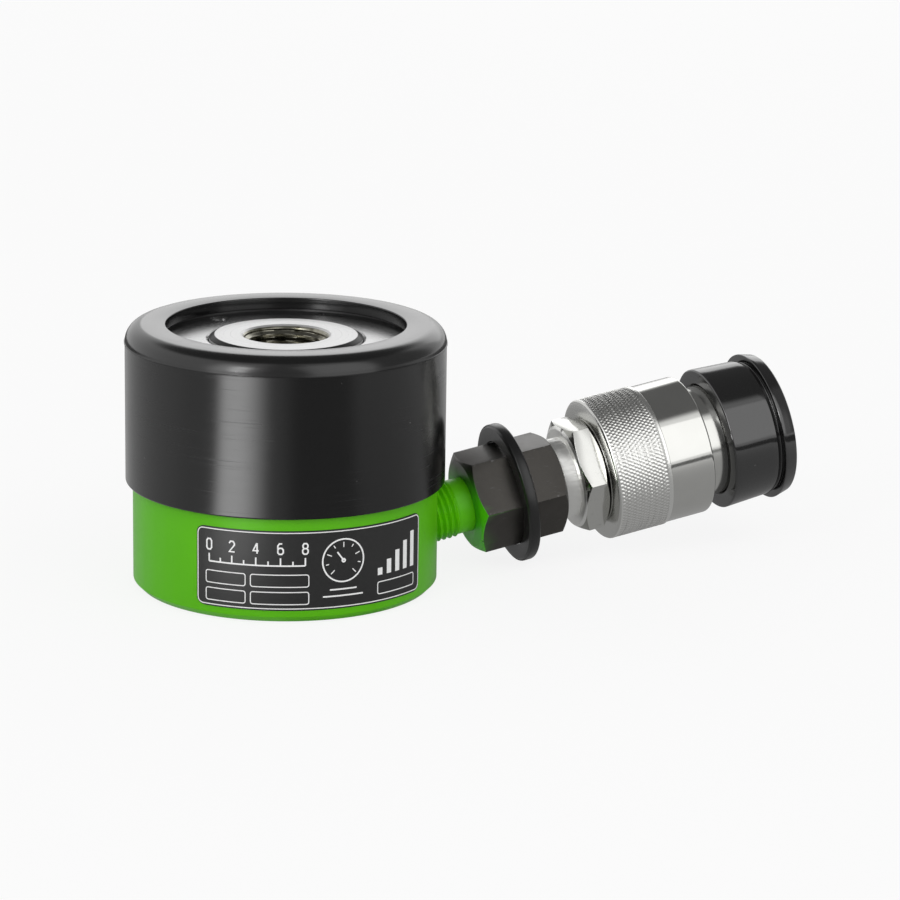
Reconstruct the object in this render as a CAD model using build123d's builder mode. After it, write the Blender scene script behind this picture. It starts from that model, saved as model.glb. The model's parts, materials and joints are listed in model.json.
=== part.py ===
from build123d import *
import math
import os

# A short hydraulic cylinder with a hollow plunger, and the quick coupler half on its port.
# Millimetres and degrees. The origin is the centre of the flat base, +Z is up the plunger,
# and the port and its coupler lie over +X.

# Cylinder body
body_radius = 34.925
body_height = 57.7
base_thickness = 11.0
base_chamfer = 1.4
rim_chamfer = 1.0
bore_radius = 27.05
collar_thread_length = 27.0
thread_relief_width = 2.4
thread_relief_depth = 0.8
mount_hole_spacing = 50.8
mount_hole_radius = 3.97
mount_hole_depth = 8.0

# Gland ring, which screws into the top of the bore and stops the plunger
gland_recess = 0.65
gland_thread_wall = 1.55
gland_bore_gap = 0.25
gland_edge_chamfer = 0.45
bushing_wall = 1.9
bushing_land = 1.5
bushing_foot = 1.5
wiper_depth = 2.3
wiper_height = 2.8
wiper_cover = 1.2
lock_screw_circle = 24.9
lock_screw_radius = 2.5
lock_screw_length = 4.0
lock_screw_sink = 0.9
lock_screw_angle = 110.0
lock_screw_key = 2.5

# Plunger
stroke = 8.0
rod_radius = 17.5
rod_stand = 0.88
rod_chamfer_width = 1.23
rod_chamfer_height = 0.7
saddle_thread_radius = 9.525
saddle_thread_length = 12.0
saddle_thread_chamfer = 0.7
piston_length = 13.0
piston_foot_chamfer = 1.5
cup_seal_start = 2.2
cup_seal_height = 4.0
cup_lip_width = 0.8
backup_ring_height = 1.4
wear_ring_height = 3.0
wear_ring_cover = 1.0
wear_ring_depth = 1.6
piston_seal_depth = 3.6
bore_seal_start = 3.6
bore_seal_depth = 2.6

# Centre tube, which the plunger slides over
tube_radius = 12.7
tube_wall = 2.6
tube_lip_height = 3.0
tube_top_gap = 1.6
tube_top_chamfer = 0.5
tube_seal_height = 6.0
tube_seal_depth = 2.2

# Clearances
running_fit = 0.06
seal_fit = 0.05
seat_gap = 0.05

# Return spring
spring_wire_radius = 1.75
spring_turns = 3.0
spring_spare = 0.45

# Collar protector, a moulded cap over the threaded collar
protector_wall = 1.59
protector_start = 24.1
protector_top_thickness = 2.7
protector_hole_radius = 27.35
protector_top_fillet = 4.0
protector_edge_fillet = 0.5
parting_bead_stand = 0.15
parting_bead_height = 0.3

# Label plate
label_width = 56.9
label_height = 18.3
label_start = 2.9
label_angle = -95.3
label_thickness = 0.16
label_corner = 1.6

# Port and nipple
port_axis_height = 6.44
port_incline = 10.3
port_gap = 0.03
port_start = 30.3
port_end_gap = 0.2
oil_passage_radius = 3.0
oil_passage_start = 20.0
nipple_radius = 6.45
nipple_bore_radius = 3.6
nipple_bare_length = 9.8
nipple_engagement = 7.9
nipple_end_chamfer = 0.6

# Long hexagon adapter and the ring that grips it
hexagon_face_share = 0.95
adapter_flats = 21.6
adapter_length = 22.1
adapter_chamfer_angle = 30.0
adapter_socket_depth = 8.3
adapter_passage_length = 3.4
ring_radius = 16.5
ring_width = 2.8
ring_offset = 9.7
ring_edge_round = 0.7

# Coupler tail, with its collar, short hexagon and spigot
tail_radius = 8.25
tail_engagement = 9.6
tail_collar_radius = 9.6
tail_collar_length = 3.4
coupler_flats = 24.4
coupler_hex_turn = -2.5
coupler_hex_length = 6.55
coupler_chamfer_angle = 30.0
spigot_radius = 9.3
spigot_length = 11.2
spigot_seal_back = 1.9
spigot_seal_radius = 0.7

# Coupler barrel
barrel_rear_radius = 12.4
barrel_front_radius = 13.2
barrel_length = 36.2
barrel_bore_radius = 7.4
barrel_mouth_radius = 4.4
barrel_seat_back = 7.3
barrel_seat_length = 3.5
barrel_nose_chamfer = 0.8
nose_ring_back = 2.6
nose_ring_radius = 0.8

# Coupling nut, knurled at the back and smooth in front
nut_gap = 0.15
nut_travel = 4.0
nut_knurl_radius = 16.9
nut_knurl_length = 13.8
nut_skirt_radius = 16.6
nut_skirt_length = 11.05
nut_rear_round = 0.85
nut_front_round = 0.6
nut_thread_radius = 14.7
nut_ring_start = 8.25
nut_ring_width = 2.0
nut_ring_bite = 0.3

# Poppet, its guide and its spring
guide_length = 3.0
guide_hole_radius = 1.2
guide_hole_circle = 5.0
guide_hole_count = 4
poppet_stem_radius = 2.5
poppet_stem_tail = 4.0
poppet_head_radius = 6.4
poppet_seat_gap = 0.25
poppet_tip_radius = 3.2
poppet_tip_sink = 0.4
poppet_seal_radius = 0.72
poppet_travel = 3.0
poppet_wire_radius = 0.55
poppet_coil_radius = 4.6
poppet_coil_turns = 2.6
poppet_coil_spare = 1.14

# Dust cap
dust_cap_clear = 1.1
dust_cap_mouth_radius = 16.95
dust_cap_radius = 16.35
dust_cap_length = 16.0
dust_cap_rim_radius = 17.7
dust_cap_front_radius = 16.9
dust_cap_rim_length = 3.35
dust_cap_groove_length = 1.1
dust_cap_groove_depth = 0.75
dust_cap_end_gap = 3.2
dust_cap_fit = 0.08
dust_cap_mouth_bevel = 0.45
dust_cap_dish_radius = 12.0
dust_cap_dish_depth = 2.2
dust_cap_edge_round = 0.3

# Heights worked out from the sizes above
gland_face = body_height - gland_recess
gland_radius = bore_radius + gland_thread_wall
plunger_top = gland_face + rod_stand
plunger_foot = base_thickness + seat_gap
piston_top = plunger_foot + piston_length
spring_solid_height = 2 * spring_wire_radius * spring_turns
gland_seat = piston_top + stroke + spring_solid_height + spring_spare
plunger_bore_top = plunger_top - saddle_thread_length
plunger_bore_radius = tube_radius + running_fit
piston_radius = bore_radius - running_fit
seal_bottom_radius = piston_radius - piston_seal_depth
cup_seal_low = plunger_foot + cup_seal_start
backup_ring_low = cup_seal_low + cup_seal_height
wear_ring_high = piston_top - wear_ring_cover
wear_ring_low = wear_ring_high - wear_ring_height
bore_seal_low = plunger_foot + bore_seal_start
bore_seal_radius = bore_seal_depth / 2
bore_backup_low = bore_seal_low + bore_seal_depth
tube_top = plunger_bore_top - tube_top_gap
tube_bore_radius = tube_radius - tube_wall
protector_inner_radius = body_radius + running_fit
protector_radius = protector_inner_radius + protector_wall
protector_ceiling = body_height + seat_gap
protector_top = protector_ceiling + protector_top_thickness
parting_line = protector_top - protector_top_fillet

# Distances along the port axis, from the cylinder's own axis
nipple_start = port_start + port_end_gap
adapter_start = body_radius + nipple_bare_length
nipple_end = adapter_start + nipple_engagement
adapter_end = adapter_start + adapter_length
adapter_socket_end = adapter_start + adapter_socket_depth
tail_socket_start = adapter_socket_end + adapter_passage_length
ring_start = adapter_start + ring_offset
tail_start = adapter_end - tail_engagement
collar_start = adapter_end + seat_gap
coupler_hex_start = collar_start + tail_collar_length
coupler_hex_end = coupler_hex_start + coupler_hex_length
spigot_end = coupler_hex_end + spigot_length
barrel_start = coupler_hex_end + seat_gap
barrel_end = barrel_start + barrel_length
seat_small_end = barrel_end - barrel_seat_back + barrel_seat_length
seat_large_end = barrel_end - barrel_seat_back
nut_start = coupler_hex_end + nut_gap
nut_knurl_end = nut_start + nut_knurl_length
nut_end = nut_knurl_end + nut_skirt_length
nut_ring_at = nut_start + nut_ring_start
nut_ring_end = nut_ring_at + nut_ring_width
barrel_step_at = nut_ring_end + nut_travel + seat_gap
guide_end = spigot_end + guide_length
poppet_coil_solid = 2 * poppet_wire_radius * poppet_coil_turns
poppet_head_back = guide_end + poppet_travel + poppet_coil_solid + poppet_coil_spare
dust_cap_start = nut_end + nut_travel + dust_cap_clear
dust_cap_end = dust_cap_start + dust_cap_length
dust_cap_bore_end = barrel_end + dust_cap_end_gap

# The port axis leans up from the base by port_incline
lean = math.radians(port_incline)
port_direction = Vector(math.cos(lean), 0, math.sin(lean))
port_origin = Vector(0, 0, port_axis_height)
port_axis = Axis(port_origin, port_direction)
port_side = Plane(origin=port_origin, x_dir=port_direction, z_dir=(0, -1, 0))


def across_port(distance):
    """The plane square to the port axis, with its own y axis up."""
    place = port_origin + port_direction * distance
    return Plane(origin=place, x_dir=(0, 1, 0), z_dir=port_direction)


def outline(points, plane):
    """A closed outline on the plane, straight from point to point."""
    with BuildSketch(plane) as drawn:
        with BuildLine():
            Polyline(*points, close=True)
        make_face()
    return drawn.sketch


def block(plane, low, high):
    """A rectangle on the plane, from its low corner to its high corner."""
    with BuildSketch(plane) as drawn:
        with Locations(((low[0] + high[0]) / 2, (low[1] + high[1]) / 2)):
            Rectangle(high[0] - low[0], high[1] - low[1])
    return drawn.sketch


def cord(plane, centre, radius):
    """The round section of an O-ring."""
    with BuildSketch(plane) as drawn:
        with Locations(centre):
            Circle(radius)
    return drawn.sketch


def hexagon_chamfer(start, end, flats, angle):
    """The turned outline that takes the corners off both ends of a hexagon."""
    face_radius = hexagon_face_share * flats / 2
    corner_radius = flats / math.sqrt(3)
    depth = (corner_radius - face_radius) * math.tan(math.radians(angle))
    return outline(
        [
            (start, 0),
            (start, face_radius),
            (start + depth, corner_radius),
            (end - depth, corner_radius),
            (end, face_radius),
            (end, 0),
        ],
        port_side,
    )


# Cylinder body: base, bore, threaded collar, port and base mounting holes
relief_top = body_height - collar_thread_length
relief_bottom = relief_top - thread_relief_width
tube_seat_radius = tube_radius + seal_fit
tube_groove_radius = tube_seat_radius + tube_seal_depth
tube_seal_top = tube_seal_height + tube_seal_depth

with BuildPart() as cylinder_body:
    revolve(
        outline(
            [
                (tube_bore_radius, 0),
                (body_radius - base_chamfer, 0),
                (body_radius, base_chamfer),
                (body_radius, relief_bottom),
                (body_radius - thread_relief_depth, relief_bottom + thread_relief_depth),
                (body_radius - thread_relief_depth, relief_top - thread_relief_depth),
                (body_radius, relief_top),
                (body_radius, body_height - rim_chamfer),
                (body_radius - rim_chamfer, body_height),
                (gland_radius, body_height),
                (gland_radius, gland_seat),
                (bore_radius, gland_seat),
                (bore_radius, base_thickness),
                (tube_seat_radius, base_thickness),
                (tube_seat_radius, tube_lip_height),
                (tube_bore_radius, tube_lip_height),
            ],
            Plane.XZ,
        ),
        axis=Axis.Z,
    )
    revolve(
        block(Plane.XZ, (tube_radius, tube_seal_height), (tube_groove_radius, tube_seal_top)),
        axis=Axis.Z,
        mode=Mode.SUBTRACT,
    )
    with BuildSketch(Plane.XY):
        with GridLocations(0, mount_hole_spacing, 1, 2):
            Circle(mount_hole_radius)
    extrude(amount=mount_hole_depth, mode=Mode.SUBTRACT)
    with BuildSketch(across_port(oil_passage_start)):
        Circle(oil_passage_radius)
    extrude(amount=port_start - oil_passage_start, mode=Mode.SUBTRACT)
    with BuildSketch(across_port(port_start)):
        Circle(nipple_radius + port_gap)
    extrude(amount=body_radius, mode=Mode.SUBTRACT)

# Centre tube, seated on the lip of the base
with BuildPart() as centre_tube:
    revolve(
        block(Plane.XZ, (tube_bore_radius, tube_lip_height), (tube_radius, tube_top)),
        axis=Axis.Z,
    )
    top_edges = centre_tube.edges().group_by(Axis.Z)[-1]
    chamfer(top_edges.sort_by(SortBy.RADIUS)[-1], length=tube_top_chamfer)

with BuildPart() as centre_tube_seal:
    revolve(
        cord(
            Plane.XZ,
            (tube_radius + tube_seal_depth / 2, tube_seal_height + tube_seal_depth / 2),
            tube_seal_depth / 2,
        ),
        axis=Axis.Z,
    )

# Plunger: threaded head, rod and piston in one piece, open all the way through
with BuildPart() as plunger:
    revolve(
        outline(
            [
                (plunger_bore_radius, plunger_foot),
                (piston_radius - piston_foot_chamfer, plunger_foot),
                (piston_radius, plunger_foot + piston_foot_chamfer),
                (piston_radius, piston_top),
                (rod_radius, piston_top),
                (rod_radius, plunger_top - rod_chamfer_height),
                (rod_radius - rod_chamfer_width, plunger_top),
                (saddle_thread_radius + saddle_thread_chamfer, plunger_top),
                (saddle_thread_radius, plunger_top - saddle_thread_chamfer),
                (saddle_thread_radius, plunger_bore_top),
                (plunger_bore_radius, plunger_bore_top),
            ],
            Plane.XZ,
        ),
        axis=Axis.Z,
    )
    seal_groove_top = backup_ring_low + backup_ring_height
    revolve(
        block(Plane.XZ, (seal_bottom_radius, cup_seal_low), (bore_radius, seal_groove_top)),
        axis=Axis.Z,
        mode=Mode.SUBTRACT,
    )
    revolve(
        block(Plane.XZ, (piston_radius - wear_ring_depth, wear_ring_low), (bore_radius, wear_ring_high)),
        axis=Axis.Z,
        mode=Mode.SUBTRACT,
    )
    bore_groove_radius = plunger_bore_radius + bore_seal_depth
    bore_groove_top = bore_backup_low + backup_ring_height
    revolve(
        block(Plane.XZ, (tube_radius, bore_seal_low), (bore_groove_radius, bore_groove_top)),
        axis=Axis.Z,
        mode=Mode.SUBTRACT,
    )

# Piston cup seal: a U section with its lips down, towards the pressure
seal_outer_radius = bore_radius - seal_fit
seal_middle_radius = (seal_bottom_radius + seal_outer_radius) / 2

with BuildPart() as piston_cup_seal:
    revolve(
        outline(
            [
                (seal_bottom_radius, cup_seal_low),
                (seal_bottom_radius + cup_lip_width, cup_seal_low),
                (seal_middle_radius, cup_seal_low + cup_seal_height / 2),
                (seal_outer_radius - cup_lip_width, cup_seal_low),
                (seal_outer_radius, cup_seal_low),
                (seal_outer_radius, backup_ring_low),
                (seal_bottom_radius, backup_ring_low),
            ],
            Plane.XZ,
        ),
        axis=Axis.Z,
    )

with BuildPart() as piston_backup_ring:
    revolve(
        block(Plane.XZ, (seal_bottom_radius, backup_ring_low), (seal_outer_radius, seal_groove_top)),
        axis=Axis.Z,
    )

with BuildPart() as piston_wear_ring:
    revolve(
        block(
            Plane.XZ,
            (piston_radius - wear_ring_depth, wear_ring_low),
            (seal_outer_radius, wear_ring_high),
        ),
        axis=Axis.Z,
    )

# The seals between the plunger and the centre tube
with BuildPart() as plunger_bore_seal:
    revolve(
        cord(
            Plane.XZ,
            (plunger_bore_radius + bore_seal_radius, bore_seal_low + bore_seal_radius),
            bore_seal_radius,
        ),
        axis=Axis.Z,
    )

with BuildPart() as plunger_bore_backup:
    revolve(
        block(Plane.XZ, (plunger_bore_radius, bore_backup_low), (bore_groove_radius, bore_groove_top)),
        axis=Axis.Z,
    )

# Return spring, between the piston and the gland ring
spring_low = piston_top + seat_gap + spring_wire_radius
spring_high = gland_seat - seat_gap - spring_wire_radius
spring_coil_radius = (rod_radius + bore_radius) / 2
spring_rise = spring_high - spring_low

with BuildPart() as return_spring:
    with BuildLine():
        coil = Helix(
            pitch=spring_rise / spring_turns,
            height=spring_rise,
            radius=spring_coil_radius,
            center=(0, 0, spring_low),
        )
    with BuildSketch(Plane(origin=coil @ 0, z_dir=coil % 0)):
        Circle(spring_wire_radius)
    sweep()

# Gland ring, with its bushing, wiper and lock screws
bushing_radius = rod_radius + running_fit
gland_bore_radius = rod_radius + gland_bore_gap
wiper_high = gland_face - wiper_cover
wiper_low = wiper_high - wiper_height
bushing_low = gland_seat + bushing_foot
bushing_high = wiper_low - bushing_land

with BuildPart() as gland_ring:
    revolve(
        outline(
            [
                (gland_bore_radius, gland_seat),
                (gland_radius, gland_seat),
                (gland_radius, gland_face),
                (gland_bore_radius + gland_edge_chamfer, gland_face),
                (gland_bore_radius, gland_face - gland_edge_chamfer),
            ],
            Plane.XZ,
        ),
        axis=Axis.Z,
    )
    revolve(
        block(Plane.XZ, (rod_radius, bushing_low), (bushing_radius + bushing_wall, bushing_high)),
        axis=Axis.Z,
        mode=Mode.SUBTRACT,
    )
    revolve(
        block(Plane.XZ, (rod_radius, wiper_low), (rod_radius + seal_fit + wiper_depth, wiper_high)),
        axis=Axis.Z,
        mode=Mode.SUBTRACT,
    )
    with BuildSketch(Plane.XY.offset(gland_face)):
        with PolarLocations(lock_screw_circle, 2, start_angle=lock_screw_angle):
            Circle(lock_screw_radius)
    extrude(amount=-(lock_screw_length + lock_screw_sink), mode=Mode.SUBTRACT)

with BuildPart() as gland_bushing:
    revolve(
        block(Plane.XZ, (bushing_radius, bushing_low), (bushing_radius + bushing_wall, bushing_high)),
        axis=Axis.Z,
    )

with BuildPart() as wiper_ring:
    revolve(
        outline(
            [
                (rod_radius + seal_fit + wiper_depth / 2, wiper_low),
                (rod_radius + seal_fit + wiper_depth, wiper_low),
                (rod_radius + seal_fit + wiper_depth, wiper_high),
                (rod_radius + seal_fit, wiper_high),
                (rod_radius + seal_fit, wiper_high - wiper_height / 3),
            ],
            Plane.XZ,
        ),
        axis=Axis.Z,
    )

with BuildPart() as gland_lock_screws:
    with BuildSketch(Plane.XY.offset(gland_face - lock_screw_sink)):
        with PolarLocations(lock_screw_circle, 2, start_angle=lock_screw_angle):
            Circle(lock_screw_radius)
    extrude(amount=-lock_screw_length)
    with BuildSketch(Plane.XY.offset(gland_face - lock_screw_sink)):
        with PolarLocations(lock_screw_circle, 2, start_angle=lock_screw_angle):
            RegularPolygon(lock_screw_key / 2, 6, major_radius=False)
    extrude(amount=-lock_screw_length / 2, mode=Mode.SUBTRACT)

# Collar protector: a thin moulded cap with a round window and a fine bead at the mould's parting line
with BuildPart() as collar_protector:
    revolve(
        outline(
            [
                (protector_inner_radius, protector_start),
                (protector_radius, protector_start),
                (protector_radius, protector_top),
                (protector_hole_radius, protector_top),
                (protector_hole_radius, protector_ceiling),
                (protector_inner_radius, protector_ceiling),
            ],
            Plane.XZ,
        ),
        axis=Axis.Z,
    )
    top_edges = collar_protector.edges().filter_by(GeomType.CIRCLE).group_by(Axis.Z)[-1]
    fillet(top_edges.sort_by(SortBy.RADIUS)[-1], radius=protector_top_fillet)
    bottom_edges = collar_protector.edges().filter_by(GeomType.CIRCLE).group_by(Axis.Z)[0]
    fillet(bottom_edges.sort_by(SortBy.RADIUS)[-1], radius=protector_edge_fillet)
    revolve(
        block(
            Plane.XZ,
            (protector_radius - protector_wall / 2, parting_line - parting_bead_height),
            (protector_radius + parting_bead_stand, parting_line),
        ),
        axis=Axis.Z,
    )

# Label plate, wrapped round the body below the protector
label_turn = math.degrees(label_width / body_radius)
label_chord = 2 * body_radius * math.sin(math.radians(label_turn) / 2)
label_out = Vector(math.cos(math.radians(label_angle)), math.sin(math.radians(label_angle)), 0)
label_plane = Plane(
    origin=Vector(0, 0, label_start + label_height / 2),
    x_dir=Vector(0, 0, 1).cross(label_out),
    z_dir=label_out,
)

with BuildPart() as label_plate:
    revolve(
        block(
            Plane.XZ,
            (body_radius, label_start),
            (body_radius + label_thickness, label_start + label_height),
        ),
        axis=Axis.Z,
    )
    with BuildSketch(label_plane):
        RectangleRounded(label_chord, label_height, label_corner)
    extrude(amount=2 * body_radius, mode=Mode.INTERSECT)

# Port nipple, screwed into the body and into the adapter
with BuildPart() as port_nipple:
    revolve(
        outline(
            [
                (nipple_start, nipple_bore_radius),
                (nipple_start, nipple_radius - nipple_end_chamfer),
                (nipple_start + nipple_end_chamfer, nipple_radius),
                (nipple_end - nipple_end_chamfer, nipple_radius),
                (nipple_end, nipple_radius - nipple_end_chamfer),
                (nipple_end, nipple_bore_radius),
            ],
            port_side,
        ),
        axis=port_axis,
    )

# Hexagon adapter: a socket at each end, joined by a narrow passage
with BuildPart() as hex_adapter:
    with BuildSketch(across_port(adapter_start)):
        RegularPolygon(adapter_flats / 2, 6, major_radius=False)
    extrude(amount=adapter_length)
    revolve(
        hexagon_chamfer(adapter_start, adapter_end, adapter_flats, adapter_chamfer_angle),
        axis=port_axis,
        mode=Mode.INTERSECT,
    )
    revolve(
        outline(
            [
                (adapter_start, 0),
                (adapter_start, nipple_radius + port_gap),
                (adapter_socket_end, nipple_radius + port_gap),
                (adapter_socket_end, nipple_bore_radius),
                (tail_socket_start, nipple_bore_radius),
                (tail_socket_start, tail_radius + port_gap),
                (adapter_end, tail_radius + port_gap),
                (adapter_end, 0),
            ],
            port_side,
        ),
        axis=port_axis,
        mode=Mode.SUBTRACT,
    )

# Rubber ring, stretched over the corners of the adapter
ring_hole_radius = adapter_flats / math.sqrt(3) + seat_gap

with BuildPart() as rubber_ring:
    revolve(
        block(port_side, (ring_start, ring_hole_radius), (ring_start + ring_width, ring_radius)),
        axis=port_axis,
    )
    rim_edges = rubber_ring.edges().filter_by(GeomType.CIRCLE).sort_by(SortBy.RADIUS)[-2:]
    fillet(rim_edges, radius=ring_edge_round)

# Coupler tail: threaded end, bright collar, short hexagon and spigot
spigot_seal_at = spigot_end - spigot_seal_back
spigot_seal_centre = spigot_radius + port_gap - spigot_seal_radius

with BuildPart() as coupler_tail:
    with BuildSketch(across_port(coupler_hex_start)):
        RegularPolygon(coupler_flats / 2, 6, major_radius=False, rotation=coupler_hex_turn)
    extrude(amount=coupler_hex_length)
    revolve(
        hexagon_chamfer(coupler_hex_start, coupler_hex_end, coupler_flats, coupler_chamfer_angle),
        axis=port_axis,
        mode=Mode.INTERSECT,
    )
    revolve(
        outline(
            [
                (tail_start, 0),
                (tail_start, tail_radius),
                (collar_start, tail_radius),
                (collar_start, tail_collar_radius),
                (coupler_hex_start, tail_collar_radius),
                (coupler_hex_end, tail_collar_radius),
                (coupler_hex_end, spigot_radius),
                (spigot_end, spigot_radius),
                (spigot_end, 0),
            ],
            port_side,
        ),
        axis=port_axis,
    )
    revolve(
        block(port_side, (tail_start, 0), (spigot_end, nipple_bore_radius)),
        axis=port_axis,
        mode=Mode.SUBTRACT,
    )
    revolve(
        block(
            port_side,
            (spigot_seal_at - spigot_seal_radius, spigot_seal_centre - spigot_seal_radius),
            (spigot_seal_at + spigot_seal_radius, spigot_radius + port_gap),
        ),
        axis=port_axis,
        mode=Mode.SUBTRACT,
    )

with BuildPart() as spigot_seal:
    revolve(cord(port_side, (spigot_seal_at, spigot_seal_centre), spigot_seal_radius), axis=port_axis)

# Coupler barrel: the nut's rear track, the nose, and the poppet's seat inside
nose_ring_at = barrel_end - nose_ring_back
nose_ring_centre = barrel_front_radius + seal_fit - nose_ring_radius

with BuildPart() as coupler_barrel:
    revolve(
        outline(
            [
                (barrel_start, spigot_radius + port_gap),
                (barrel_start, barrel_rear_radius),
                (barrel_step_at, barrel_rear_radius),
                (barrel_step_at, barrel_front_radius),
                (barrel_end - barrel_nose_chamfer, barrel_front_radius),
                (barrel_end, barrel_front_radius - barrel_nose_chamfer),
                (barrel_end, barrel_mouth_radius),
                (seat_small_end, barrel_mouth_radius),
                (seat_large_end, barrel_bore_radius),
                (spigot_end, barrel_bore_radius),
                (spigot_end, spigot_radius + port_gap),
            ],
            port_side,
        ),
        axis=port_axis,
    )
    revolve(
        block(
            port_side,
            (nose_ring_at - nose_ring_radius, nose_ring_centre - nose_ring_radius),
            (nose_ring_at + nose_ring_radius, barrel_front_radius + seal_fit),
        ),
        axis=port_axis,
        mode=Mode.SUBTRACT,
    )

with BuildPart() as nose_o_ring:
    revolve(cord(port_side, (nose_ring_at, nose_ring_centre), nose_ring_radius), axis=port_axis)

# Coupling nut, and the ring inside it that stops it at the barrel's step
nut_bore_radius = barrel_rear_radius + running_fit
nut_ring_radius = nut_thread_radius + nut_ring_bite

with BuildPart() as coupling_nut:
    revolve(
        outline(
            [
                (nut_start, nut_bore_radius),
                (nut_start, nut_knurl_radius),
                (nut_knurl_end, nut_knurl_radius),
                (nut_knurl_end, nut_skirt_radius),
                (nut_end, nut_skirt_radius),
                (nut_end, nut_thread_radius),
                (nut_ring_end, nut_thread_radius),
                (nut_ring_end, nut_ring_radius),
                (nut_ring_at, nut_ring_radius),
                (nut_ring_at, nut_bore_radius),
            ],
            port_side,
        ),
        axis=port_axis,
    )
    front_edges = coupling_nut.edges().filter_by(GeomType.CIRCLE).group_by(port_axis)[-1]
    fillet(front_edges.sort_by(SortBy.RADIUS)[-1], radius=nut_front_round)
    rear_edges = coupling_nut.edges().filter_by(GeomType.CIRCLE).group_by(port_axis)[0]
    fillet(rear_edges.sort_by(SortBy.RADIUS)[-1], radius=nut_rear_round)

with BuildPart() as nut_retaining_ring:
    revolve(
        block(
            port_side,
            (nut_ring_at + seat_gap, nut_bore_radius),
            (nut_ring_end - seat_gap, nut_ring_radius - running_fit),
        ),
        axis=port_axis,
    )

# Poppet guide: a plate with a hole for the stem and a ring of flow holes
stem_hole_radius = poppet_stem_radius + running_fit

with BuildPart() as poppet_guide:
    with BuildSketch(across_port(spigot_end + seat_gap)):
        Circle(barrel_bore_radius - seal_fit)
        Circle(stem_hole_radius, mode=Mode.SUBTRACT)
        with PolarLocations(guide_hole_circle, guide_hole_count):
            Circle(guide_hole_radius, mode=Mode.SUBTRACT)
    extrude(amount=guide_length - seat_gap)

# Poppet: its cone stays parallel to the barrel's seat, and its seal fills the gap
seat_slope = (barrel_bore_radius - barrel_mouth_radius) / barrel_seat_length
seat_run = math.sqrt(1 + seat_slope**2)
cone_drop = poppet_seat_gap * seat_run
cone_start = seat_large_end + (barrel_bore_radius - cone_drop - poppet_head_radius) / seat_slope
cone_end = seat_large_end + (barrel_bore_radius - cone_drop - poppet_tip_radius) / seat_slope
poppet_tip = barrel_end - poppet_tip_sink
seal_at = (seat_large_end + seat_small_end) / 2
seat_radius_there = (barrel_bore_radius + barrel_mouth_radius) / 2
poppet_seal_centre = seat_radius_there - (poppet_seal_radius + seal_fit) * seat_run

with BuildPart() as poppet:
    revolve(
        outline(
            [
                (spigot_end - poppet_stem_tail, 0),
                (spigot_end - poppet_stem_tail, poppet_stem_radius),
                (poppet_head_back, poppet_stem_radius),
                (poppet_head_back, poppet_head_radius),
                (cone_start, poppet_head_radius),
                (cone_end, poppet_tip_radius),
                (poppet_tip, poppet_tip_radius),
                (poppet_tip, 0),
            ],
            port_side,
        ),
        axis=port_axis,
    )
    revolve(
        cord(port_side, (seal_at, poppet_seal_centre), poppet_seal_radius),
        axis=port_axis,
        mode=Mode.SUBTRACT,
    )

with BuildPart() as poppet_seal:
    revolve(cord(port_side, (seal_at, poppet_seal_centre), poppet_seal_radius), axis=port_axis)

# Poppet spring, a small coil between the guide and the poppet's head
coil_low = guide_end + seat_gap + poppet_wire_radius
coil_high = poppet_head_back - seat_gap - poppet_wire_radius
coil_rise = coil_high - coil_low
coil_start = port_origin + port_direction * coil_low

with BuildPart() as poppet_spring:
    with BuildLine():
        small_coil = Helix(
            pitch=coil_rise / poppet_coil_turns,
            height=coil_rise,
            radius=poppet_coil_radius,
            center=coil_start,
            direction=port_direction,
        )
    with BuildSketch(Plane(origin=small_coil @ 0, z_dir=small_coil % 0)):
        Circle(poppet_wire_radius)
    sweep()

# Dust cap: a mouth that slips over the barrel's nose, a tapered side, a groove and a pull rim
dust_cap_bore_radius = barrel_front_radius + dust_cap_fit
rim_start = dust_cap_end - dust_cap_rim_length
groove_start = rim_start - dust_cap_groove_length
groove_radius = dust_cap_radius - dust_cap_groove_depth

with BuildPart() as dust_cap:
    revolve(
        outline(
            [
                (dust_cap_start, dust_cap_bore_radius + dust_cap_mouth_bevel),
                (dust_cap_start, dust_cap_mouth_radius - dust_cap_edge_round),
                (dust_cap_start + dust_cap_edge_round, dust_cap_mouth_radius),
                (groove_start, dust_cap_radius),
                (groove_start, groove_radius),
                (rim_start, groove_radius),
                (rim_start, dust_cap_rim_radius),
                (dust_cap_end - dust_cap_edge_round, dust_cap_front_radius),
                (dust_cap_end, dust_cap_front_radius - dust_cap_edge_round),
                (dust_cap_end, dust_cap_dish_radius),
                (dust_cap_end - dust_cap_dish_depth, dust_cap_dish_radius),
                (dust_cap_end - dust_cap_dish_depth, 0),
                (dust_cap_bore_end, 0),
                (dust_cap_bore_end, dust_cap_bore_radius),
                (dust_cap_start + dust_cap_mouth_bevel, dust_cap_bore_radius),
            ],
            port_side,
        ),
        axis=port_axis,
    )

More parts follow.
